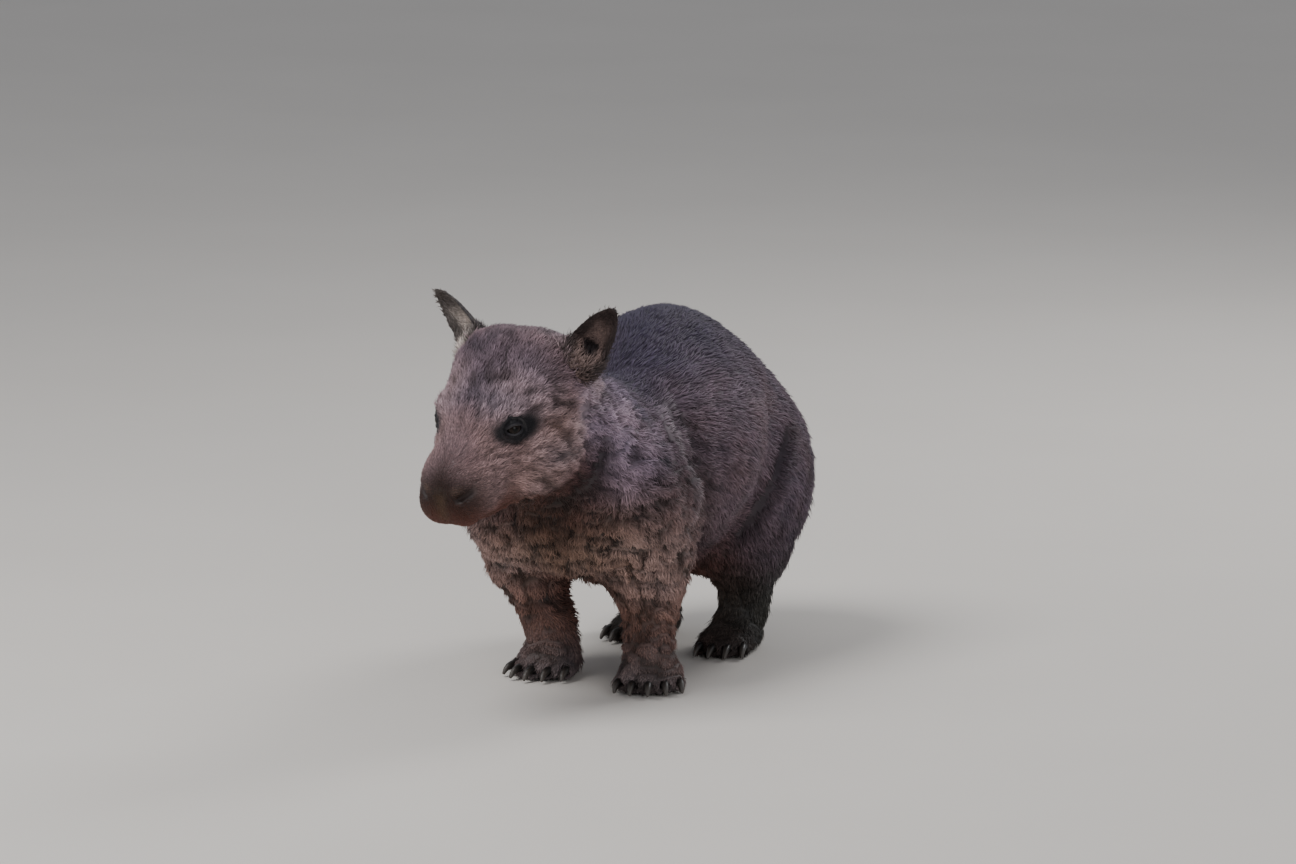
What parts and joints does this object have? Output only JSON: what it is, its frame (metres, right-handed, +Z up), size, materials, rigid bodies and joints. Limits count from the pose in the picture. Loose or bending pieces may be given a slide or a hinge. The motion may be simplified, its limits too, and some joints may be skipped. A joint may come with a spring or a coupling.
{
  "type": "wombat",
  "caption": "Southern hairy-nosed wombat at life size, standing still on all fours with its head turned a little to its right.",
  "frame": {"origin": "on the floor under the middle of the model's box", "axes": "+Z up, the wombat faces -Y, its left side is +X"},
  "size_m": [0.2826, 0.6222, 0.4067],
  "materials": {
    "fur": "short dense grey-brown fur",
    "dark_fur": "very short dark fur and bare dark skin",
    "claw": "grey-brown horn, satin, worn",
    "eye": "wet dark brown eye"
  },
  "bodies": {
    "root": {"claw_fore_left_1": "claw", "claw_fore_left_2": "claw", "claw_fore_left_3": "claw", "claw_fore_left_4": "claw", "claw_fore_left_5": "claw", "claw_fore_right_1": "claw", "claw_fore_right_2": "claw", "claw_fore_right_3": "claw", "claw_fore_right_4": "claw", "claw_fore_right_5": "claw", "claw_hind_left_1": "claw", "claw_hind_left_2": "claw", "claw_hind_left_3": "claw", "claw_hind_left_4": "claw", "claw_hind_right_1": "claw", "claw_hind_right_2": "claw", "claw_hind_right_3": "claw", "claw_hind_right_4": "claw", "ear_left": "dark_fur", "ear_right": "dark_fur", "eye_left": "eye", "eye_right": "eye", "foot_fore_left": "dark_fur", "foot_fore_right": "dark_fur", "foot_hind_left": "dark_fur", "foot_hind_right": "dark_fur", "head": "fur", "leg_fore_left": "fur", "leg_fore_right": "fur", "leg_hind_left": "fur", "leg_hind_right": "fur", "neck": "fur", "tail": "fur", "torso": "fur"}
  },
  "joints": []
}
